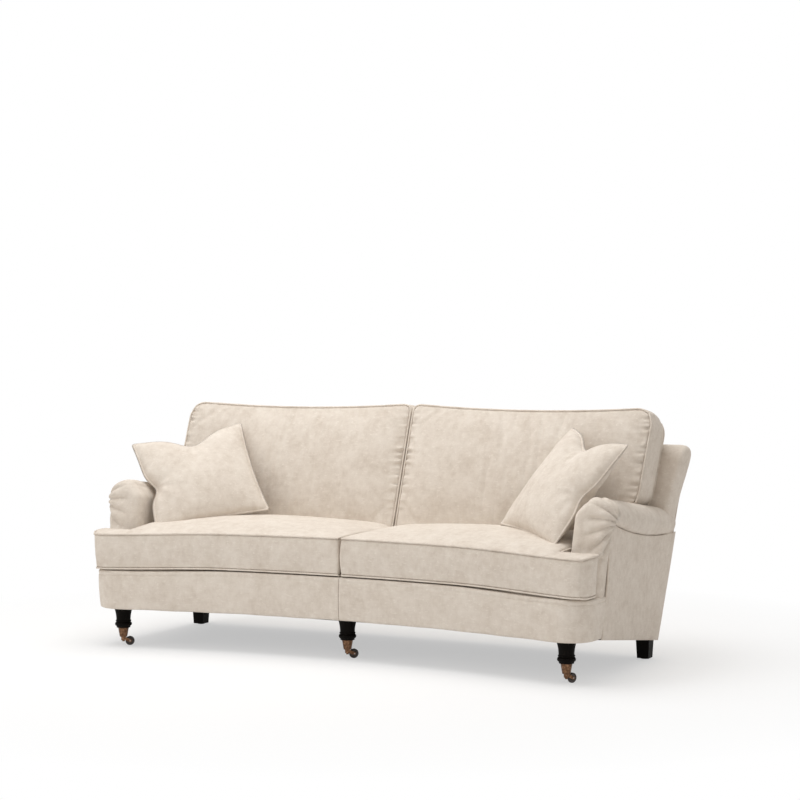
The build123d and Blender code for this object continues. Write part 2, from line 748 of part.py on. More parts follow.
def castor_horn():
    """Fork that trails behind the pin, drawn along +X: a boss, and a cheek each side of the wheel."""
    boss = upright(horn_radius, horn_bottom, horn_top, (0, 0))
    boss &= Pos(horn_boss_front - reach / 2, 0, 0) * Box(reach, reach, reach)
    cheek_in = wheel_width / 2 + horn_cheek_gap
    eye_top = (wheel_trail, wheel_radius + horn_eye_radius)
    outline = [line((-horn_radius / 2, 0, horn_bottom), (-horn_radius / 2, 0, horn_top)),
               line((-horn_radius / 2, 0, horn_top), (horn_radius / 2, 0, horn_top)),
               line((horn_radius / 2, 0, horn_top), (eye_top[0], 0, eye_top[1])),
               arc((eye_top[0], 0, eye_top[1]), (wheel_trail + horn_eye_radius, 0, wheel_radius),
                   (wheel_trail, 0, wheel_radius - horn_eye_radius)),
               line((wheel_trail, 0, wheel_radius - horn_eye_radius), (horn_radius / 2, 0, horn_bottom)),
               line((horn_radius / 2, 0, horn_bottom), (-horn_radius / 2, 0, horn_bottom))]
    cheek = extrude(Face(Wire(outline)), amount=horn_cheek, dir=(0, 1, 0))
    horn = boss + Pos(0, cheek_in, 0) * cheek + Pos(0, -cheek_in - horn_cheek, 0) * cheek
    horn -= upright(pin_radius + fit_gap, 0, cup_top, (0, 0))
    return horn - across(axle_radius, 4 * horn_radius)


def across(radius, length):
    """Cylinder along Y on the axle of the wheel."""
    return Pos(wheel_trail, 0, wheel_radius) * Rotation(90, 0, 0) * Cylinder(radius, length)


def castor_wheel():
    half = wheel_width / 2
    bore = axle_radius + fit_gap
    tread = wheel_radius - wheel_round
    recess = half - wheel_round / 2
    outline = polygon([(x, 0, z) for x, z in [
        (bore, -half), (wheel_hub_radius, -half), (wheel_hub_radius + wheel_round, -recess),
        (tread - wheel_round, -recess), (tread, -half), (wheel_radius, -half + wheel_round),
        (wheel_radius, half - wheel_round), (tread, half), (tread - wheel_round, recess),
        (wheel_hub_radius + wheel_round, recess), (wheel_hub_radius, half), (bore, half)]])
    return Pos(wheel_trail, 0, wheel_radius) * Rotation(90, 0, 0) * turned(outline)


axle_length = wheel_width + 2 * horn_cheek_gap + 2 * horn_cheek
for name, place in leg_places.items():
    here = Pos(place[0], place[1], 0)
    turn = Rotation(0, 0, castor_turns[name])
    pieces[name + "_front_leg"] = here * front_leg
    pieces[name + "_castor_cup"] = here * castor_cup
    pieces[name + "_castor_horn"] = here * turn * castor_horn()
    pieces[name + "_castor_wheel"] = here * turn * castor_wheel()
    pieces[name + "_castor_axle"] = here * turn * across(axle_radius, axle_length)

# Square rear legs on felt glides
rear_foot = Pos(0, 0, glide_height) * Rectangle(rear_leg_foot, rear_leg_foot)
rear_head = Pos(0, 0, rear_leg_top) * Rectangle(rear_leg_side, rear_leg_side)
rear_leg = loft([rear_foot, rear_head], ruled=True)
rear_leg -= upright(stud_radius, rear_leg_top - rear_stud_in_leg, rear_leg_top, (0, 0))
for name, place in rear_places.items():
    pieces[name + "_rear_leg"] = Pos(place[0], place[1], 0) * rear_leg
pieces["rear_glides"] = group(upright(glide_radius, 0, glide_height, place) for place in rear_places.values())

# The origin goes on the floor, under the middle of the whole sofa
boxes = [piece.bounding_box() for piece in pieces.values()]
lowest_y = min(box.min.Y for box in boxes)
highest_y = max(box.max.Y for box in boxes)
centre_y = (lowest_y + highest_y) / 2
os.makedirs("parts", exist_ok=True)
for name, piece in pieces.items():
    export_step(Pos(0, -centre_y, 0) * piece, "parts/" + name + ".step")

width = max(box.max.X for box in boxes) - min(box.min.X for box in boxes)
height = max(box.max.Z for box in boxes) - min(box.min.Z for box in boxes)
print("overall", round(width, 1), round(highest_y - lowest_y, 1), round(height, 1))
for name, place in leg_places.items():
    turn = radians(castor_turns[name])
    print(name, "swivel axis at", round(place[0], 2), round(place[1] - centre_y, 2),
          "axle at", round(place[0] + wheel_trail * cos(turn), 2),
          round(place[1] - centre_y + wheel_trail * sin(turn), 2))
print("rear legs at", rear_leg_x, round(rear_leg_y - centre_y, 2))
print("front face middle at", round(-centre_y, 2))
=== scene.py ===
import bpy
from math import atan2, cos, exp, hypot, pi, radians, sin, sqrt, tanh
from mathutils import Euler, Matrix, Quaternion, Vector, noise


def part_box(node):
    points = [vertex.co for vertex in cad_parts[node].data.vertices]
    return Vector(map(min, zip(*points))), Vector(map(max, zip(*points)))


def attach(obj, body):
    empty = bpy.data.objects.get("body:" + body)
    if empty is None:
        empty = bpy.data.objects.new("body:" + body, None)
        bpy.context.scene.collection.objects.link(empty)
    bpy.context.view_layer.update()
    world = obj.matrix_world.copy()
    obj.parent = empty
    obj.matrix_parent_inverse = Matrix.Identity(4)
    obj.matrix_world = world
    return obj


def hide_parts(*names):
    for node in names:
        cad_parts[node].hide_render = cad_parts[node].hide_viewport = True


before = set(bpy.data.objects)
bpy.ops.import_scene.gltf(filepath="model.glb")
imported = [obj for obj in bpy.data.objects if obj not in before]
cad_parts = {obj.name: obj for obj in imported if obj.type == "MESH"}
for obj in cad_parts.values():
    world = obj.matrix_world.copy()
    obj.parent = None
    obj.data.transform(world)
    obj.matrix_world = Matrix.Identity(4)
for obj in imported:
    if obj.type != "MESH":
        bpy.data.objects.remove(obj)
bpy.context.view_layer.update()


# Turned front legs and square rear legs: beech, stained black and lacquered to a satin shine.
# The lacquer is a little uneven, and the grain still shows through it as fine upright lines.
# Each leg is held by a steel stud, and felt glides are glued under the rear ones.
class Shade:
    """One output of a shader node. Sums of these add Math nodes, and node() adds any other node."""

    def __init__(self, tree, socket):
        self.tree = tree
        self.socket = socket

    def feed(self, socket, value):
        if isinstance(value, Shade):
            self.tree.links.new(value.socket, socket)
        elif hasattr(value, "__len__") and len(value) < len(socket.default_value):
            socket.default_value = (*value, 1.0)
        else:
            socket.default_value = value

    def node(self, kind, settings, inputs, output=0):
        made = self.tree.nodes.new("ShaderNode" + kind)
        for name, value in settings.items():
            if name == "stops":
                ramp = made.color_ramp.elements
                while len(ramp) < len(value):
                    ramp.new(0.5)
                for stop, (place, colour) in zip(ramp, value):
                    stop.position = place
                    stop.color = (*colour, 1.0)
            else:
                setattr(made, name, value)
        for name, value in inputs.items():
            self.feed(made.inputs[name], value)
        return Shade(self.tree, made.outputs[output])

    def sum(self, operation, first, second):
        return self.node("Math", {"operation": operation}, {0: first, 1: second})

    def __add__(self, other):
        return self.sum("ADD", self, other)

    def __radd__(self, other):
        return self.sum("ADD", other, self)

    def __sub__(self, other):
        return self.sum("SUBTRACT", self, other)

    def __rsub__(self, other):
        return self.sum("SUBTRACT", other, self)

    def __mul__(self, other):
        return self.sum("MULTIPLY", self, other)

    def __rmul__(self, other):
        return self.sum("MULTIPLY", other, self)

    def grain(self, stretch, detail=3.0, rough=0.55):
        """Noise over a place in the object, drawn out by a different count per metre along each axis."""
        spread = self.node("Mapping", {}, {"Vector": self, "Scale": stretch})
        inputs = {"Vector": spread, "Scale": 1.0, "Detail": detail, "Roughness": rough}
        return self.node("TexNoise", {}, inputs)

    def ramp(self, *stops):
        return self.node("ValToRGB", {"stops": stops}, {"Fac": self})

    def bump(self, depth, strength=1.0):
        return self.node("Bump", {}, {"Height": self, "Distance": depth, "Strength": strength})


def new_finish(name):
    """A material, the sockets of its shader, and the place on the object as a shade."""
    finish = bpy.data.materials.new(name)
    finish.use_nodes = True
    tree = finish.node_tree
    shader = tree.nodes["Principled BSDF"].inputs
    return finish, shader, Shade(tree, tree.nodes.new("ShaderNodeTexCoord").outputs["Object"])


def coat(finish, *nodes):
    """Gives pieces of the fixed frame a finish."""
    for node in nodes:
        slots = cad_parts[node].data.materials
        slots.clear()
        slots.append(finish)


black_lacquer, shader, place = new_finish("black_lacquer")
lines = place.grain((420.0, 420.0, 30.0), 4.0)
cloud = place.grain((38.0, 38.0, 38.0))
stain = ((0.3, (0.003, 0.0025, 0.002)), (0.62, (0.007, 0.0055, 0.0045)), (0.8, (0.02, 0.013, 0.009)))
place.feed(shader["Base Color"], (0.6 * lines + 0.4 * cloud).ramp(*stain))
place.feed(shader["Roughness"], 0.34 + 0.25 * cloud)
shader["Specular IOR Level"].default_value = 0.04
place.feed(shader["Normal"], lines.bump(0.0004, 0.35))
leg_places = ("left", "middle", "right")
coat(black_lacquer, *(side + "_front_leg" for side in leg_places), "left_rear_leg", "right_rear_leg")

felt, shader, place = new_finish("felt")
hairs = place.grain((900.0, 900.0, 900.0))
place.feed(shader["Base Color"], hairs.ramp((0.3, (0.05, 0.045, 0.04)), (0.7, (0.13, 0.115, 0.1))))
place.feed(shader["Normal"], hairs.bump(0.0006))
shader["Roughness"].default_value = 0.95
coat(felt, "rear_glides")

# Cup castors: cast brass cups and forks, polished once and browned since, with steel axles
# and small wheels moulded in dark brown, dulled by dust. A cup fits over the end of each front leg.
brass, shader, place = new_finish("antique_brass")
cloud = place.grain((130.0, 130.0, 130.0), 5.0, 0.65)
scuff = place.grain((700.0, 700.0, 120.0), 2.0)
patina = 0.75 * cloud + 0.25 * scuff
browns = ((0.34, (0.045, 0.023, 0.013)), (0.52, (0.17, 0.09, 0.05)), (0.68, (0.36, 0.21, 0.12)))
place.feed(shader["Base Color"], patina.ramp(*browns))
place.feed(shader["Roughness"], 0.55 - 0.4 * patina)
place.feed(shader["Normal"], patina.bump(0.0003, 0.4))
shader["Metallic"].default_value = 1.0
coat(brass, *(side + "_castor_cup" for side in leg_places), *(side + "_castor_horn" for side in leg_places))

wheel_brown, shader, place = new_finish("castor_wheel_brown")
dust = place.grain((260.0, 260.0, 260.0), 4.0)
dusty_browns = ((0.35, (0.012, 0.007, 0.005)), (0.6, (0.035, 0.02, 0.013)), (0.75, (0.09, 0.07, 0.055)))
place.feed(shader["Base Color"], dust.ramp(*dusty_browns))
place.feed(shader["Roughness"], 0.2 + 0.35 * dust)
place.feed(shader["Normal"], dust.bump(0.0002, 0.3))
coat(wheel_brown, *(side + "_castor_wheel" for side in leg_places))

steel, shader, place = new_finish("plain_steel")
drawn = place.grain((300.0, 300.0, 300.0))
place.feed(shader["Base Color"], drawn.ramp((0.3, (0.3, 0.3, 0.31)), (0.7, (0.55, 0.55, 0.56))))
place.feed(shader["Roughness"], 0.25 + 0.3 * drawn)
shader["Metallic"].default_value = 1.0
coat(steel, "leg_studs", *(side + "_castor_axle" for side in leg_places))

# Timber frame: sawn hardwood rails and posts, glued and doweled, hidden by the upholstery.
# Dark elastic webbing crosses it, and a black cloth closes it underneath.
timber, shader, place = new_finish("sawn_timber")
rings = place.grain((9.0, 160.0, 160.0), 4.0)
fibre = place.grain((60.0, 1200.0, 1200.0), 2.0)
woods = ((0.3, (0.22, 0.13, 0.065)), (0.5, (0.4, 0.26, 0.14)), (0.7, (0.56, 0.4, 0.25)))
place.feed(shader["Base Color"], (0.7 * rings + 0.3 * fibre).ramp(*woods))
place.feed(shader["Roughness"], 0.6 + 0.25 * fibre)
place.feed(shader["Normal"], fibre.bump(0.0005, 0.5))
coat(timber, "front_rail", "rear_rail", "back_top_rail", "back_middle_post", "centre_rail", "corner_blocks")
for hand in ("left_", "right_"):
    coat(timber, hand + "side_rail", hand + "back_post", hand + "arm_post", hand + "arm_rail")

webbing, shader, place = new_finish("elastic_webbing")
cords = place.grain((700.0, 90.0, 700.0), 2.0)
place.feed(shader["Base Color"], cords.ramp((0.35, (0.02, 0.016, 0.013)), (0.65, (0.08, 0.065, 0.05))))
place.feed(shader["Normal"], cords.bump(0.0008, 0.8))
shader["Roughness"].default_value = 0.85
coat(webbing, "seat_webbing", "back_webbing")

bottom_cloth, shader, place = new_finish("bottom_cloth")
fibres = place.grain((500.0, 500.0, 500.0), 3.0)
place.feed(shader["Base Color"], fibres.ramp((0.3, (0.008, 0.008, 0.008)), (0.7, (0.03, 0.03, 0.03))))
place.feed(shader["Normal"], fibres.bump(0.0005, 0.6))
shader["Roughness"].default_value = 0.95
coat(bottom_cloth, "dust_cover")

# Padded inside back: felt and foam over the raked frame, covered in one piece of heavy linen that
# is pulled over the top and round the ends. The linen is woven from uneven beige yarns.
leg_setback = 0.066
front_middle = (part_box("middle_front_leg")[0].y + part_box("middle_front_leg")[1].y) / 2 - leg_setback
front_radius = 3.4
rear_radius = 12.0
rear_foot = 0.606
rear_rake = 0.349
side_foot = 0.982
side_lean = 0.05
rear_inset = 0.008
back_depth = 0.125
back_top = 0.760
back_round = 0.050
back_low = 0.243
back_corner = 0.032
back_flare = 0.026
back_end = 0.04
back_end_round = 0.010


def front_y(x, inset=0.0):
    """Depth of the concave front of the sofa."""
    return front_middle - front_radius + sqrt((front_radius + inset) ** 2 - x * x)


def rear_y(x, z, inset=0.0):
    """Depth of the raked, gently curved back, measured forward from its rear face."""
    radius = rear_radius + rear_rake * z - inset
    return front_middle + rear_foot - rear_radius + sqrt(radius ** 2 - x * x)


def side_x(z, inset=0.0):
    """Half width of the leaning sides."""
    return side_foot + side_lean * z - inset


def linen(name, tone=1.0):
    """Heavy mottled linen: slubs along both yarns, cloudy dye and a plain weave."""
    finish, shader, place = new_finish(name)
    dye = place.grain((11.0, 11.0, 11.0), 3.0)
    cloud = place.grain((40.0, 40.0, 40.0), 5.0, 0.62)
    weft = place.grain((30.0, 30.0, 190.0), 4.0, 0.6)
    warp = place.grain((190.0, 190.0, 34.0), 4.0, 0.6)
    slub = place.grain((70.0, 110.0, 150.0), 2.0)
    tint = 0.32 * dye + 0.44 * cloud + 0.13 * weft + 0.11 * warp
    pale = place.node("MapRange", {}, {"Value": slub, "From Min": 0.6, "From Max": 0.72, "To Max": 0.15})
    shades = ((0.34, (0.60, 0.521, 0.442)), (0.5, (0.695, 0.622, 0.543)), (0.66, (0.77, 0.703, 0.625)))
    shades = [(stop, tuple(tone * c for c in colour)) for stop, colour in shades]
    colour = (tint + pale).ramp(*shades)
    place.feed(shader["Base Color"], colour)
    across = place.grain((330.0, 1500.0, 1900.0), 2.0)
    upright = place.grain((1900.0, 1500.0, 330.0), 2.0)
    weave = 0.5 * across + 0.5 * upright
    place.feed(shader["Roughness"], 0.98 - 0.2 * weave)
    place.feed(shader["Normal"], (weave + 0.35 * weft + 0.3 * warp).bump(0.0011, 0.5))
    shader["Sheen Weight"].default_value = 0.12
    shader["Sheen Roughness"].default_value = 0.6
    shader["Specular IOR Level"].default_value = 0.2
    return finish


cover_linen = linen("linen")


def alone(piece):
    """Selects one piece and nothing else."""
    if bpy.context.object and bpy.context.object.mode != "OBJECT":
        bpy.ops.object.mode_set(mode="OBJECT")
    bpy.ops.object.select_all(action="DESELECT")
    piece.select_set(True)
    bpy.context.view_layer.objects.active = piece


def grid(name, columns, rows):
    """A flat grid from 0 to 1 both ways, ready to be shaped."""
    bpy.ops.object.select_all(action="DESELECT")
    cells = {"x_subdivisions": columns, "y_subdivisions": rows}
    bpy.ops.mesh.primitive_grid_add(size=1, location=(0.5, 0.5, 0), **cells)
    piece = bpy.context.object
    piece.name = piece.data.name = name
    bpy.ops.object.transform_apply(location=True, rotation=False, scale=False)
    return piece


def shape(piece, rule):
    """Moves every point of a piece to where the rule puts it."""
    for point in piece.data.vertices:
        point.co = rule(*point.co)
    piece.data.update()


def sewn_tube(name, around, along, rule):
    """A closed skin: a grid rolled up by the rule, sewn along its edges and closed at both ends."""
    piece = grid(name, around, along)
    shape(piece, lambda s, t, _: rule(s, t))
    alone(piece)
    bpy.ops.object.mode_set(mode="EDIT")
    bpy.ops.mesh.select_all(action="SELECT")
    bpy.ops.mesh.remove_doubles(threshold=0.00002)
    bpy.ops.mesh.fill_holes(sides=0)
    bpy.ops.mesh.normals_make_consistent(inside=False)
    bpy.ops.object.mode_set(mode="OBJECT")
    return piece


def modify(piece, kind, **settings):
    """Adds one modifier and applies it."""
    alone(piece)
    modifier = piece.modifiers.new(kind.lower(), kind)
    for name, value in settings.items():
        setattr(modifier, name, value)
    bpy.ops.object.modifier_apply(modifier=modifier.name)


def stuff(piece, voxel, rounds):
    """Even, soft skin over a stiff form."""
    modify(piece, "REMESH", mode="VOXEL", voxel_size=voxel)
    modify(piece, "SMOOTH", factor=0.5, iterations=rounds)
    alone(piece)
    bpy.ops.object.shade_smooth()


def dress(piece, body, finish=cover_linen, stands_for=()):
    """Finish and body of one linen piece, and hides the parts it stands for."""
    piece.data.materials.clear()
    piece.data.materials.append(finish)
    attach(piece, body)
    if stands_for:
        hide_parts(*stands_for)
    return piece


def twin(piece, name):
    """The mirror image of a piece, with a mesh of its own."""
    alone(piece)
    bpy.ops.object.duplicate()
    copy = bpy.context.object
    copy.name = copy.data.name = name
    shape(copy, lambda x, y, z: (-x, y, z))
    alone(copy)
    bpy.ops.object.mode_set(mode="EDIT")
    bpy.ops.mesh.select_all(action="SELECT")
    bpy.ops.mesh.flip_normals()
    bpy.ops.object.mode_set(mode="OBJECT")
    return copy


def swell(x, y, z, size, depth):
    """Gentle unevenness of hand-laid padding."""
    return depth * noise.noise(Vector((x, y, z)) / size)


def smooth(low, high, value):
    """Even rise from 0 at low to 1 at high."""
    share = min(max((value - low) / (high - low), 0.0), 1.0)
    return share * share * (3 - 2 * share)


def back_outline(s):
    """Inset and height round the section of the back: up the rear, over the top and down the front."""
    shoulder = back_top - back_round
    if s < 0.3:
        return rear_inset, back_low + (shoulder - back_low) * s / 0.3
    if s < 0.5:
        turn = (s - 0.3) / 0.2 * pi
        inset = rear_inset + (back_depth - rear_inset) * (1 - cos(turn)) / 2
        return inset, shoulder + back_round * sin(turn)
    if s < 0.8:
        return back_depth, shoulder - (shoulder - back_low) * (s - 0.5) / 0.3
    return back_depth - (back_depth - rear_inset) * (s - 0.8) / 0.2, back_low


def flare(across, z):
    """How far the ends of the back stand out sideways near the top, across running from -1 to 1."""
    return back_flare * smooth(0.5, 0.74, z) * across ** 9


def back_skin(s, t):
    """Point of the inside back: s round its section, t from end to end."""
    inset, z = back_outline(s)
    open_share = min(min(t, 1 - t) / back_end, 1.0)
    inset = back_depth / 2 + (inset - back_depth / 2) * open_share
    t = min(max((t - back_end) / (1 - 2 * back_end), 0.0), 1.0)
    over = max(z - (back_top - back_corner), 0.0)
    half = side_x(z) - back_corner + sqrt(max(back_corner ** 2 - over ** 2, 0.0))
    x = (2 * t - 1) * (half - back_end_round * open_share ** 4)
    x += flare(2 * t - 1, z)
    y = rear_y(x, z, inset)
    return x, y + swell(x, y, z, 0.16, 0.003), z


inside_back = sewn_tube("inside_back", 90, 150, back_skin)
stuff(inside_back, voxel=0.009, rounds=5)
dress(inside_back, "frame", stands_for=["inside_back_pad"])


# Outside back: one plain panel of the same linen, stretched over the rear of the frame
# and closed by hand along its edges.
panel_low = 0.066
panel_tall = 0.645


def rear_panel(u, v, w):
    """Point of the outside back, drawn in a little along its edges."""
    z = panel_low + v * panel_tall
    x = (2 * u - 1) * side_x(z, 0.005 + 0.006 * smooth(0.5, 0.62, z))
    x += flare(2 * u - 1, z)
    edge = min(u, 1 - u, v, 1 - v)
    tight = 0.004 * (1 - exp(-edge / 0.012))
    y = rear_y(x, z, 0.0055 - tight)
    return x, y + swell(x, y, z, 0.22, 0.0012), z


outside_back = grid("outside_back", 150, 60)
shape(outside_back, rear_panel)
alone(outside_back)
bpy.ops.object.mode_set(mode="EDIT")
bpy.ops.mesh.select_all(action="SELECT")
bpy.ops.mesh.flip_normals()
bpy.ops.object.mode_set(mode="OBJECT")
modify(outside_back, "SOLIDIFY", thickness=0.004, offset=-1.0)
bpy.ops.object.shade_smooth_by_angle(angle=radians(40))
dress(outside_back, "frame", stands_for=["outside_back_panel"])

# Rolled arms: a stuffed roll on the arm rail that drops to the back. The linen runs up the inside,
# over the roll and under it, and is folded into a fan of pleats on the front.
border_top = 0.297
arm_front = -0.020
arm_lean = 0.18
arm_end = 0.722
arm_rear = 0.729
arm_inner = 0.868
nose_depth = 0.045
nose_draw = 0.034
roll_height = 0.541
roll_sink = 0.073
roll_radius = 0.075
roll_thinning = 0.023
roll_inset = 0.056
roll_outward = 0.016
seam_from = 0.0666
seam_to = 0.725
seam_front = 0.528
roll_tuck = radians(-35.0)
fan_x = 1.024
fan_z = 0.523
fan_depth = 0.066
fan_folds = 10.0
fan_height = 0.013


def arm_share(y):
    """How far along the arm a depth lies: 0 at the front, 1 at the rear."""
    return (y - arm_front) / (arm_rear - arm_front)


def seam_z(y):
    """Height of the smile-shaped seam under the roll, y measured from the middle of the front."""
    share = (y - seam_from) / (seam_to - seam_from)
    return seam_front - 0.1840 * share + 0.1040 * share * share


def arm_outline(y, draw):
    """Points of the arm's section, from the inner foot over the roll to the outer foot."""
    share = arm_share(y)
    height = roll_height - roll_sink * share
    radius = roll_radius - roll_thinning * share - draw
    axis = side_x(height, roll_inset - roll_outward * share)
    inner = arm_inner + draw
    low = border_top - 0.020
    points = []
    for step in range(24):
        rise = step / 24
        points.append((inner + rise * (axis - radius - inner), low + rise * (height - low)))
    for step in range(44):
        turn = pi + (roll_tuck - pi) * step / 43
        slope = 1 - 0.12 * sin(2 * turn) ** 2 * smooth(0.5, 0.0, share) if turn > pi / 2 else 1.0
        points.append((axis + slope * radius * cos(turn), height + slope * radius * sin(turn)))
    last_x, last_z = points[-1]
    foot = side_x(low, draw + 0.002)
    for step in range(1, 17):
        drop = step / 16
        points.append((last_x + drop * (foot - last_x), last_z + drop * (low - last_z)))
    for step in range(1, 10):
        points.append((foot + step / 10 * (inner - foot), low))
    return points


arm_points = len(arm_outline(0.0, 0.0))


def arm_skin(s, t):
    """Point of the right arm: s round its section, t from the nose to the rear."""
    if t < 0.2:
        turn = t / 0.2 * pi / 2
        y = arm_front + nose_depth * (1 - cos(turn))
        draw = nose_draw * (1 - sin(turn))
    else:
        y = arm_front + nose_depth + (t - 0.2) / 0.8 * (arm_end - arm_front - nose_depth)
        draw = 0.012 * smooth(0.8, 1.0, t)
    x, z = arm_outline(y, draw)[round(s * arm_points) % arm_points]
    return x, min(front_middle + y + arm_lean * (z - border_top), rear_y(x, z, 0.012)), z


def arm_folds(piece):
    """The fan of pleats on the front, and the roll turned in to the seam outside."""
    normals = [point.normal.copy() for point in piece.data.vertices]
    for point, normal in zip(piece.data.vertices, normals):
        x, y, z = point.co
        depth = y - front_middle - arm_lean * (z - border_top) - arm_front
        ahead = fan_x - x + fan_depth - depth
        reach = hypot(ahead, z - fan_z)
        turn = atan2(z - fan_z, ahead)
        fold = (turn + 1.35 + 1.5 * reach) / (pi + 0.3) * fan_folds
        fold %= 1.0
        crest = 1 - (2 * fold ** 0.75 - 1) ** 2
        size = fan_height * smooth(0.006, 0.04, reach) * (1 - smooth(0.1, 0.19, reach))
        size *= smooth(-1.2, -0.8, turn) * (1 - smooth(1.6, 2.1, turn)) * (1 - smooth(0.07, 0.11, depth))
        size *= smooth(0.90, 0.93, x)
        hollow = 0.006 * exp(-(reach / 0.02) ** 2) * smooth(0.97, 1.0, x)
        crease = 0.004 * exp(-((z - 0.428) / 0.009) ** 2) - 0.005 * exp(-((z - 0.412) / 0.006) ** 2)
        crease *= smooth(0.05, 0.02, depth) * smooth(0.9, 0.95, x)
        point.co += normal * (size * (crest - 0.6) - hollow + crease + swell(x, y, z, 0.09, 0.0014))
        away = y - front_middle
        above = min(max((z - seam_z(away)) / 0.02, 0.0), 1.0)
        most = side_x(z, 0.006) + 0.026 * sqrt(1 - (1 - above) ** 2)
        if depth > 0.03 and normal.x > -0.2:
            blend = smooth(0.03, 0.07, depth)
            point.co.x = min(point.co.x, most) * blend + point.co.x * (1 - blend)
    piece.data.update()


right_arm = sewn_tube("right_arm", arm_points, 90, arm_skin)
stuff(right_arm, voxel=0.0045, rounds=5)
arm_folds(right_arm)
left_arm = twin(right_arm, "left_arm")
for piece, hand in ((right_arm, "right"), (left_arm, "left")):
    dress(piece, "frame", stands_for=[hand + "_arm_pad"])


# Outer arm panels: linen over thin padding and a stiff lining, its front edge turned in against the
# arm front, its top edge closed along the smile-shaped seam. The foot of the front edge stands open.
seam_gap = 0.003


def panel_edge(z):
    """Front edge of the outer panel: it follows the arm front and steps back towards the floor."""
    return 0.025 + arm_lean * (z - border_top) + 0.020 * smooth(0.46, 0.3, z)


def arm_panel(u, v, w):
    """Point of the right outer panel: u from front to rear, v from the foot to the seam."""
    y = 0.0
    z = 0.3
    for _ in range(4):
        start = panel_edge(z) + 0.005 * smooth(0.21, 0.15, z)
        end = rear_y(side_x(z), z) - front_middle
        y = start + u * (end - start)
        foot = 0.143 - 0.135 * max(y, 0.0)
        z = foot + v * (seam_z(y) - seam_gap - foot)
    edge = min(u * 1.7, 1 - u, v, 1 - v)
    proud = 0.0015 + 0.0025 * (1 - exp(-edge / 0.02))
    return side_x(z) + proud + swell(y, z, 0.0, 0.14, 0.0012), front_middle + y, z


right_panel = grid("right_outer_panel", 90, 60)
shape(right_panel, arm_panel)
modify(right_panel, "SOLIDIFY", thickness=0.006, offset=-1.0)
modify(right_panel, "BEVEL", width=0.0015, segments=2, limit_method="ANGLE", angle_limit=radians(50))
bpy.ops.object.shade_smooth_by_angle(angle=radians(50))
left_panel = twin(right_panel, "left_outer_panel")
for piece, hand in ((right_panel, "right"), (left_panel, "left")):
    dress(piece, "frame", stands_for=[hand + "_outer_arm_panel"])

# Front border: a padded band along the curved front rail, joined by an upright seam in the middle.
# It is turned under the rail, goes round the front corners, and has a line of stitching along its top.
border_low = 0.143
border_wall = 0.020
border_corner = 0.085
border_edge = 0.007
front_share = 0.8
corner_share = 0.92
middle_gap = 0.0003


def border_plan(t, inset, z):
    """Place in plan along the border: the concave front, the rounded corner, then the side."""
    side = side_x(z)
    middle_x = side - border_corner
    middle_y = sqrt((front_radius + border_corner) ** 2 - middle_x ** 2) - front_radius
    bend = atan2(middle_x, middle_y + front_radius)
    radius = border_corner - inset
    if t < front_share:
        turn = middle_gap + (bend - middle_gap) * t / front_share
        return (front_radius + inset) * sin(turn), (front_radius + inset) * cos(turn) - front_radius
    if t < corner_share:
        turn = -pi / 2 - bend + (t - front_share) / (corner_share - front_share) * (pi / 2 + bend)
        return middle_x + radius * cos(turn), middle_y + radius * sin(turn)
    last = panel_edge(z)
    return side - inset, middle_y + (t - corner_share) / (1 - corner_share) * (last - middle_y)


def end_drop(x):
    """Fall of the border's top edge, and of the seat cushion over it, towards the front corners."""
    return 0.011 * smooth(0.45, 0.95, x)


def border_skin(s, t):
    """Point of the right border: s round its section, t from the middle seam to the side."""
    high = border_top - end_drop(min(t / front_share, 1.0))
    tall = high - border_low
    if s < 0.62:
        z = border_low + tall * s / 0.62
        rim = min(z - border_low, high - z, border_edge)
        inset = border_edge - sqrt(border_edge ** 2 - (border_edge - rim) ** 2)
        share = (z - border_low) / tall
        inset -= 0.0035 * (1 - (2 * share - 1) ** 2) - 0.0022 * exp(-((z - high + 0.016) / 0.0022) ** 2)
        inset += 0.0018 * exp(-((t / front_share) / 0.004) ** 2)
    elif s < 0.7:
        z = high
        inset = border_edge + (border_wall - border_edge) * (s - 0.62) / 0.08
    elif s < 0.92:
        z = high - tall * (s - 0.7) / 0.22
        inset = border_wall
    else:
        z = border_low
        inset = border_wall - (border_wall - border_edge) * (s - 0.92) / 0.08
    x, y = border_plan(t, inset, z)
    if z < border_low + 0.002:
        z += 0.0016 * noise.noise(Vector((x * 9, y * 9, 0.0)))
    return x, front_middle + y + swell(x, y, z, 0.12, 0.0014), z


right_border = sewn_tube("right_border", 60, 190, border_skin)
alone(right_border)
bpy.ops.object.shade_smooth_by_angle(angle=radians(50))
left_border = twin(right_border, "left_border")
for piece, hand in ((right_border, "right"), (left_border, "left")):
    dress(piece, "frame", stands_for=[hand + "_front_border"])


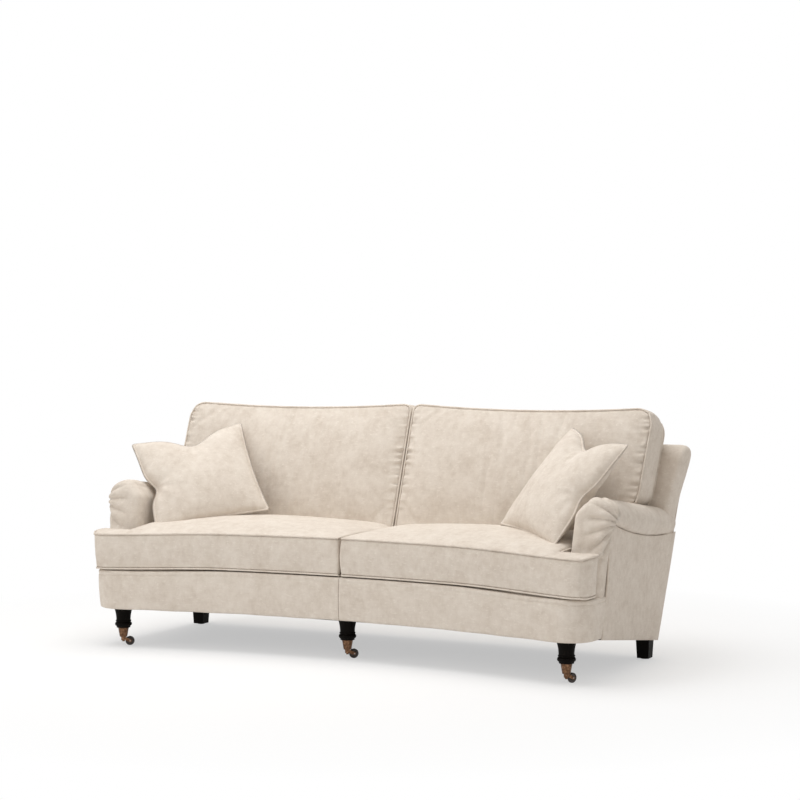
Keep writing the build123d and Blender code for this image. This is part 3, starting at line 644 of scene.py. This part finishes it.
# Seat deck: a thin pad of felt and foam laid over the webbing and fixed to the rails.
# It is covered in a plain lining cloth, and seen only when the cushions are lifted.
def boxed(name, columns, rows, layers, notch=None):
    """A block of cloth panels from 0 to 1 each way: a grid, cut out at one corner, drawn up into a box.
    The edges round its two large panels are marked as sewn."""
    piece = grid(name, columns, rows)
    alone(piece)
    bpy.ops.object.mode_set(mode="EDIT")
    bpy.ops.mesh.select_mode(type="FACE")
    bpy.ops.mesh.select_all(action="DESELECT")
    bpy.ops.object.mode_set(mode="OBJECT")
    if notch:
        for face in piece.data.polygons:
            face.select = face.center.x > notch[0] and notch[1] * (face.center.y - notch[2]) > 0
        bpy.ops.object.mode_set(mode="EDIT")
        bpy.ops.mesh.delete(type="FACE")
        bpy.ops.object.mode_set(mode="OBJECT")
    shared = {}
    for face in piece.data.polygons:
        for edge in face.edge_keys:
            shared[edge] = shared.get(edge, 0) + 1
    outline = {point for edge, faces in shared.items() if faces == 1 for point in edge}
    outline = {tuple(round(c, 4) for c in piece.data.vertices[point].co[:2]) for point in outline}
    bpy.ops.object.mode_set(mode="EDIT")
    for _ in range(layers):
        bpy.ops.mesh.select_all(action="DESELECT")
        bpy.ops.object.mode_set(mode="OBJECT")
        top = max(point.co.z for point in piece.data.vertices)
        for face in piece.data.polygons:
            face.select = face.center.z > top - 0.001 and abs(face.normal.z) > 0.5
        bpy.ops.object.mode_set(mode="EDIT")
        bpy.ops.mesh.extrude_region_move(TRANSFORM_OT_translate={"value": (0, 0, 1 / layers)})
    bpy.ops.mesh.select_all(action="SELECT")
    bpy.ops.mesh.normals_make_consistent(inside=False)
    bpy.ops.object.mode_set(mode="OBJECT")
    points = piece.data.vertices
    rims = [tuple(round(c, 4) for c in p.co[:2]) in outline for p in points]
    sewn = [rim and min(p.co.z, 1 - p.co.z) < 0.01 for rim, p in zip(rims, points)]
    for edge in piece.data.edges:
        a, b = edge.vertices
        edge.use_seam = sewn[a] and sewn[b] and abs(points[a].co.z - points[b].co.z) < 0.01
    piece.vertex_groups.new(name="sewn").add([p.index for p in points if sewn[p.index]], 1.0, "REPLACE")
    return piece


deck_half = 0.975
deck_corner = 0.075
deck_low = 0.243
deck_tall = 0.053
deck_setback = 0.024


def deck_pad(u, v, w):
    """Point of the seat deck, thinner along its edges and rounded at the front corners."""
    x = (2 * u - 1) * deck_half
    z = deck_low + deck_tall * w - 0.004 * exp(-min(u, 1 - u, v, 1 - v) / 0.02)
    start = front_y(x, deck_setback)
    y = start + v * (rear_y(x, z, back_depth + 0.02) - start)
    into = deck_corner - deck_half + abs(x)
    over = deck_corner - y + start
    if into > 0 and over > 0:
        pull = max(into, over) / hypot(into, over)
        x = (deck_half - deck_corner + into * pull) * (1 if u > 0.5 else -1)
        y = start + deck_corner - over * pull
    return x, y, z


lining = linen("lining_cloth", 0.92)
seat_deck = boxed("seat_deck_pad", 60, 24, 3)
shape(seat_deck, deck_pad)
alone(seat_deck)
bpy.ops.object.shade_smooth_by_angle(angle=radians(50))
dress(seat_deck, "frame", lining, ["seat_deck"])

# Seat cushions: boxed, piped covers over a foam core wrapped in feathers, so the top is crowned and
# the front plump. Each has an ear that comes round in front of its arm.
seat_start = 0.0025
seat_setback = 0.006
seat_notch = 0.860
seat_ear = -0.028
seat_low = 0.2976
seat_seam = 0.432
seat_corner = 0.080
ear_from = 0.86
ear_deep = 0.15
split_gap = 0.0008
piping_radius = 0.0033
piping_lift = 0.0016
seam_drawn = 0.0045


def seat_depths(x):
    """Front, ear line and rear of the seat cushion, in depth."""
    start = front_y(x, seat_setback)
    ear = front_middle + seat_ear
    line = ear if x >= seat_notch else start + ear - front_y(seat_notch, seat_setback)
    return start, line, rear_y(x, border_top, back_depth + seat_setback)


def seat_crown(u):
    """Height of the crown across the cushion, low at the split and over the ear."""
    return 0.036 * (0.2 + 0.8 * 4 * u * (1 - u)) if u < ear_from else 0.008


def seat_block(u, v, w):
    """Point of the right seat cushion: u outward, v to the rear, w upward."""
    end = side_x(seat_seam, 0.004 + 0.010 * (1 - w))
    if u < ear_from:
        x = seat_start + u / ear_from * (seat_notch - seat_start)
    else:
        x = seat_notch + (u - ear_from) / (1 - ear_from) * (end - seat_notch)
    start, line, rear = seat_depths(min(x, 0.99))
    if v < ear_deep:
        y = start + v / ear_deep * (line - start)
    else:
        y = line + (v - ear_deep) / (1 - ear_deep) * (rear - line)
    into = seat_corner - (end - x)
    over = seat_corner - (y - start)
    if into > 0 and over > 0:
        pull = max(into, over) / hypot(into, over)
        x = end - seat_corner + into * pull
        y = start + seat_corner - over * pull
    z = seat_low + w * (seat_seam + 0.005 * (1 - u) - seat_low)
    z += 0.007 * (1 - w) * exp(-v / 0.03) - end_drop(x) * exp(-v / 0.15)
    belly = 1 - (2 * w - 1) ** 2
    if v < 0.001:
        y -= 0.006 * belly
    if u < 0.001:
        x += 0.0065 * (1 - belly)
    deep = 4 * v * (1 - v)
    if w > 0.999:
        z += seat_crown(u) * deep ** 0.8
    return x, y, z


def puff(piece, pressure, slack, most, stiff=0.6):
    """Lets the cloth between the sewn edges swell, no point moving further than the given length."""
    alone(piece)
    start = [point.co.copy() for point in piece.data.vertices]
    modifier = piece.modifiers.new("cloth", "CLOTH")
    cloth = modifier.settings
    cloth.quality = 6
    cloth.mass = 0.25
    cloth.tension_stiffness = 18
    cloth.compression_stiffness = 12
    cloth.shear_stiffness = 6
    cloth.bending_stiffness = stiff
    cloth.use_pressure = True
    cloth.uniform_pressure_force = pressure
    cloth.shrink_min = -slack
    cloth.vertex_group_mass = "sewn"
    cloth.effector_weights.gravity = 0.0
    modifier.collision_settings.use_collision = False
    scene = bpy.context.scene
    for step in range(1, 21):
        scene.frame_set(step)
    bpy.ops.object.modifier_apply(modifier=modifier.name)
    scene.frame_set(1)
    for point, old in zip(piece.data.vertices, start):
        move = point.co - old
        if move.length > 0.0:
            point.co = old + move * (most * tanh(move.length / most) / move.length)
    piece.data.update()


def soften(piece):
    """One subdivision and smooth shading."""
    modify(piece, "SUBSURF", levels=1, render_levels=1)
    bpy.ops.object.shade_smooth()


def piped(piece, name, lift=piping_lift, drawn_in=seam_drawn, radius=piping_radius):
    """Cord covered in linen, standing out of the sewn edges of a cushion."""
    alone(piece)
    for part in (piece.data.polygons, piece.data.vertices):
        for item in part:
            item.select = False
    drawn = {}
    raised = {}
    for edge in piece.data.edges:
        edge.select = edge.use_seam
        for end in edge.vertices if edge.use_seam else ():
            point = piece.data.vertices[end]
            drawn[end] = point.co - point.normal * drawn_in
            raised[tuple(round(c, 5) for c in drawn[end])] = point.co + point.normal * lift
    for end, place in drawn.items():
        piece.data.vertices[end].co = place
    bpy.ops.object.mode_set(mode="EDIT")
    bpy.ops.mesh.select_mode(type="EDGE")
    bpy.ops.mesh.duplicate()
    bpy.ops.mesh.separate(type="SELECTED")
    bpy.ops.object.mode_set(mode="OBJECT")
    cord = next(other for other in bpy.context.selected_objects if other is not piece)
    cord.name = cord.data.name = name
    shape(cord, lambda *place: raised[tuple(round(c, 5) for c in place)])
    alone(cord)
    bpy.ops.object.convert(target="CURVE")
    cord.data.bevel_depth = radius
    cord.data.bevel_resolution = 2
    bpy.ops.object.convert(target="MESH")
    bpy.ops.object.shade_smooth()
    return cord


def press_split(*pieces):
    """Flattens what swells over the middle line, where the two cushions of a pair press together."""
    for piece in pieces:
        shape(piece, lambda x, y, z: (max(x, split_gap), y, z))


# The piping linen is the cover linen painted 4% lighter: a painted highlight along the cords.
piping_linen_painted_highlight = linen("piping_linen_painted_highlight", 1.04)
right_seat = boxed("right_seat", 96, 54, 12, (ear_from, 1, ear_deep))
shape(right_seat, seat_block)
puff(right_seat, pressure=2.0, slack=0.004, most=0.014)
soften(right_seat)
right_seat_piping = piped(right_seat, "right_seat_piping")
press_split(right_seat, right_seat_piping)
left_seat = twin(right_seat, "left_seat")
left_seat_piping = twin(right_seat_piping, "left_seat_piping")
seat_pairs = ((right_seat, right_seat_piping, "right"), (left_seat, left_seat_piping, "left"))
for cushion, cord, hand in seat_pairs:
    body = hand + "_seat_cushion"
    dress(cushion, body, stands_for=[body, body + "_filling"])
    dress(cord, body, piping_linen_painted_highlight)

# Back cushions: feather cushions in boxed, piped covers. The cover is cut full, so it gathers along the
# piping at the ends; the top edge dips between its corners, and the outer lower corner clears the arm.
lean_low = 0.470
lean_top = 0.893
lean_out = 0.985
step_share = 0.24
step_from = 0.885
corner_outer = 0.065
corner_inner = 0.030
corner_step = 0.045
back_tall = 0.900
back_fall = 0.048
back_dip = 0.018
back_thick = 0.210
back_belly = 0.020
gather_height = 0.014


def back_block(u, v, w):
    """Point of the right back cushion: u outward, v upward, w forward."""
    dip = back_dip * (1 - (2 * u - 1) ** 2)
    low = seat_seam - 0.006 + 0.8 * seat_crown(min(u, 0.85)) - 0.010 * (1 - w)
    top = back_tall - back_fall * (1 - w) - dip
    z = low + v * (top - low)
    belly = 1 - (2 * w - 1) ** 2
    inner = seat_start + 0.003 * (1 - belly)
    outer = lean_out - 0.030 * (1 - v) - 0.022 * (1 - w) + 0.004 * belly
    x = inner + u * (outer - inner)
    step = low + step_share * (top - low)
    corners = (
        (outer, -1, top, -1, corner_outer),
        (inner, 1, top, -1, corner_inner),
        (outer, -1, step, 1, corner_step),
    )
    for end, inward, edge, onward, radius in corners:
        into = radius - abs(end - x)
        over = radius - abs(edge - z)
        if into > 0 and over > 0:
            pull = max(into, over) / hypot(into, over)
            x = end + inward * (radius - into * pull)
            z = edge + onward * (radius - over * pull)
    if v > 0.999:
        z += 0.010 * belly
    y = rear_y(x, z, back_depth + 0.001 + back_thick * w)
    if w > 0.999:
        y -= back_belly * (1 - (2 * v - 1) ** 2) * (1 - (2 * u - 1) ** 4)
    return x, y, z


def gather(piece):
    """Small folds where the full cover is drawn up along the piping at both ends."""
    normals = [point.normal.copy() for point in piece.data.vertices]
    for point, normal in zip(piece.data.vertices, normals):
        x, y, z = point.co
        if normal.y > -0.5:
            continue
        rise = (z - lean_low) / (lean_top - lean_low)
        ends = (x - seat_start - 0.006, lean_out - 0.030 * (1 - rise) - 0.004 - x)
        for number, away in enumerate(ends):
            near = exp(-(max(away, 0.0) / 0.022) ** 1.5) * smooth(0.0, 0.006, away)
            wave = noise.noise(Vector((number * 7.3, z * 84.0, x * 6.0)))
            faded = near * smooth(0.02, 0.12, rise) * smooth(1.0, 0.9, rise)
            point.co += normal * (gather_height * wave * faded)
    piece.data.update()


right_back = boxed("right_back", 94, 46, 18, (step_from, -1, step_share))
shape(right_back, back_block)
puff(right_back, pressure=2.0, slack=0.012, most=0.022, stiff=0.4)
soften(right_back)
gather(right_back)
right_back_piping = piped(right_back, "right_back_piping")
press_split(right_back, right_back_piping)
left_back = twin(right_back, "left_back")
left_back_piping = twin(right_back_piping, "left_back_piping")
for piece in (left_back, left_back_piping):
    shape(piece, lambda x, y, z: (x - x * 0.075 * (z - 0.74), y, z))
back_pairs = ((right_back, right_back_piping, "right"), (left_back, left_back_piping, "left"))
for cushion, cord, hand in back_pairs:
    body = hand + "_back_cushion"
    dress(cushion, body, stands_for=[body, body + "_filling"])
    dress(cord, body, piping_linen_painted_highlight)

# Scatter cushions: two squares of linen with piping in the one seam, filled with feathers.
# Each leans in the corner of its arm and has been pressed down in the middle of its top edge.
pillow_half = 0.2140
pillow_pull = 0.013
pillow_thick = 0.064
pillow_chop = 0.055
pillow_centre = Vector((0.7526, front_middle + 0.255, 0.6210))
pillow_turn = Euler((radians(-40.6), radians(6.6), radians(-41.7)), "XYZ").to_matrix()


def folds(x, z, count, spread):
    """Small creases that run out from one point and fade with distance."""
    away = hypot(x, z)
    return cos(count * atan2(z, x)) * exp(-away / spread) * smooth(0.0, 0.1, away)


def pillow(u, v, w):
    """Point of the right scatter cushion: u across, v upward, w through its thickness."""
    across = 2 * u - 1
    up = 2 * v - 1
    x = across * (pillow_half - pillow_pull * (1 - up * up))
    z = up * (pillow_half - pillow_pull * (1 - across * across))
    rim = (1 - across * across) * (1 - up * up)
    chop = exp(-((across + 0.05) / 0.36) ** 2) * smooth(-0.5, 1.0, up)
    z -= pillow_chop * chop
    x -= 0.030 * exp(-((up + 0.1) / 0.22) ** 2) * smooth(0.35 if w < 0.6 else 0.8, 1.0, across)
    crease = 0.007 * folds(1 - across, up + 0.1, 9, 0.3) + 0.006 * folds(across + 0.05, 1 - up, 7, 0.4)
    pucker = 0.012 * noise.noise(Vector((4 * across, 4 * up, 3 * w))) * exp(-rim / 0.25)
    swollen = (pillow_thick * (1 - 0.2 * chop) + pucker) * rim ** 0.5
    y = (2 * w - 1) * (0.0015 + swollen + crease * smooth(0.0, 0.3, rim))
    return pillow_centre + pillow_turn @ Vector((x, y, z))


right_pillow = boxed("right_pillow", 48, 48, 2)
for edge in right_pillow.data.edges:
    ends = [right_pillow.data.vertices[point].co for point in edge.vertices]
    edge.use_seam = all(abs(end.z - 0.5) < 0.01 for end in ends)
shape(right_pillow, pillow)
soften(right_pillow)
right_pillow_piping = piped(right_pillow, "right_pillow_piping", lift=0.0005, drawn_in=0.007, radius=0.004)
left_pillow = twin(right_pillow, "left_pillow")
left_pillow_piping = twin(right_pillow_piping, "left_pillow_piping")


def settle(pieces, centre, axis, degrees, rise):
    """Rolls a pillow about its middle and shifts it up or down to where it came to rest."""
    roll = Quaternion(axis, radians(degrees))
    for piece in pieces:
        shape(piece, lambda *place: centre + roll @ (Vector(place) - centre) + Vector((0, 0, rise)))


right_pair = (right_pillow, right_pillow_piping)
left_pair = (left_pillow, left_pillow_piping)
settle(right_pair, pillow_centre, axis=(0.46, -0.89, 0.0), degrees=3.0, rise=0.012)
settle(left_pair, pillow_centre * Vector((-1, 1, 1)), axis=(0.5, -0.86, 0.0), degrees=4.0, rise=-0.004)
for (cushion, cord), hand in ((right_pair, "right"), (left_pair, "left")):
    body = hand + "_scatter_cushion"
    dress(cushion, body, stands_for=[body, body + "_filling"])
    dress(cord, body, piping_linen_painted_highlight)

# Studio: a pale floor that runs out to white, a large soft lamp overhead and a weaker one in front,
# and a long lens a little higher than the back.
bpy.ops.object.select_all(action="DESELECT")
bpy.ops.mesh.primitive_plane_add(size=40)
floor = bpy.context.object
floor.name = floor.data.name = "studio_floor"
pale, shader, place = new_finish("pale_floor")
tree = pale.node_tree
distance = place.node("VectorMath", {"operation": "LENGTH"}, {0: place}, 1)


def seen_by_eye(tree):
    """1 for a ray from the camera, straight, mirrored or let through, and 0 for scattered light."""
    rays = tree.nodes.new("ShaderNodeLightPath").outputs
    kinds = [Shade(tree, rays["Is " + kind + " Ray"]) for kind in ("Camera", "Glossy", "Transmission")]
    return kinds[0] + kinds[1] + kinds[2]


seen = seen_by_eye(tree)
far = place.node("Clamp", {}, {"Value": 0.5 + 0.5 * (distance - 1.2), "Min": 0.5})
glow = place.node("Emission", {}, {"Color": (1.0, 1.0, 1.0, 1.0), "Strength": 1.0})
shader["Base Color"].default_value = (0.93, 0.93, 0.93, 1.0)
shader["Roughness"].default_value = 0.9
shader["Specular IOR Level"].default_value = 0.1
body = Shade(tree, tree.nodes["Principled BSDF"].outputs[0])
mixed = place.node("MixShader", {}, {0: seen * far, 1: body, 2: glow})
tree.links.new(mixed.socket, tree.nodes["Material Output"].inputs["Surface"])
floor.data.materials.append(pale)

sky_light = 0.58
world = bpy.data.worlds.new("studio")
world.use_nodes = True
bpy.context.scene.world = world
tree = world.node_tree
seen = seen_by_eye(tree)
seen = seen.node("Clamp", {}, {"Value": seen})
seen.feed(tree.nodes["Background"].inputs["Strength"], sky_light + (1 - sky_light) * seen)
sky = seen.node("Mix", {"data_type": "RGBA"}, {0: seen, 6: (1.0, 0.965, 0.925), 7: (1.0, 1.0, 1.0)}, 2)
seen.feed(tree.nodes["Background"].inputs["Color"], sky)


def lamp(name, size, power, spot, aim):
    """A square area lamp that faces a point."""
    bpy.ops.object.light_add(type="AREA", location=spot)
    made = bpy.context.object
    made.name = name
    made.data.shape = "SQUARE"
    made.data.size = size
    made.data.energy = power
    made.rotation_euler = (Vector(aim) - Vector(spot)).to_track_quat("-Z", "Y").to_euler()


lamp("overhead_lamp", size=3.2, power=88.0, spot=(-0.5, -0.2, 3.6), aim=(0.0, 0.1, 0.3))
lamp("front_lamp", size=2.4, power=32.0, spot=(-3.6, -4.2, 2.2), aim=(0.0, 0.0, 0.4))

camera_place = (3.2853, front_middle - 5.8802, 1.1047)
camera_turn = (radians(88.504), 0, radians(27.333))
bpy.ops.object.camera_add(location=camera_place, rotation=camera_turn)
camera = bpy.context.object
camera.data.lens = 85.5
camera.data.sensor_width = 36.0
bpy.context.scene.camera = camera
bpy.context.scene.view_settings.view_transform = "Standard"
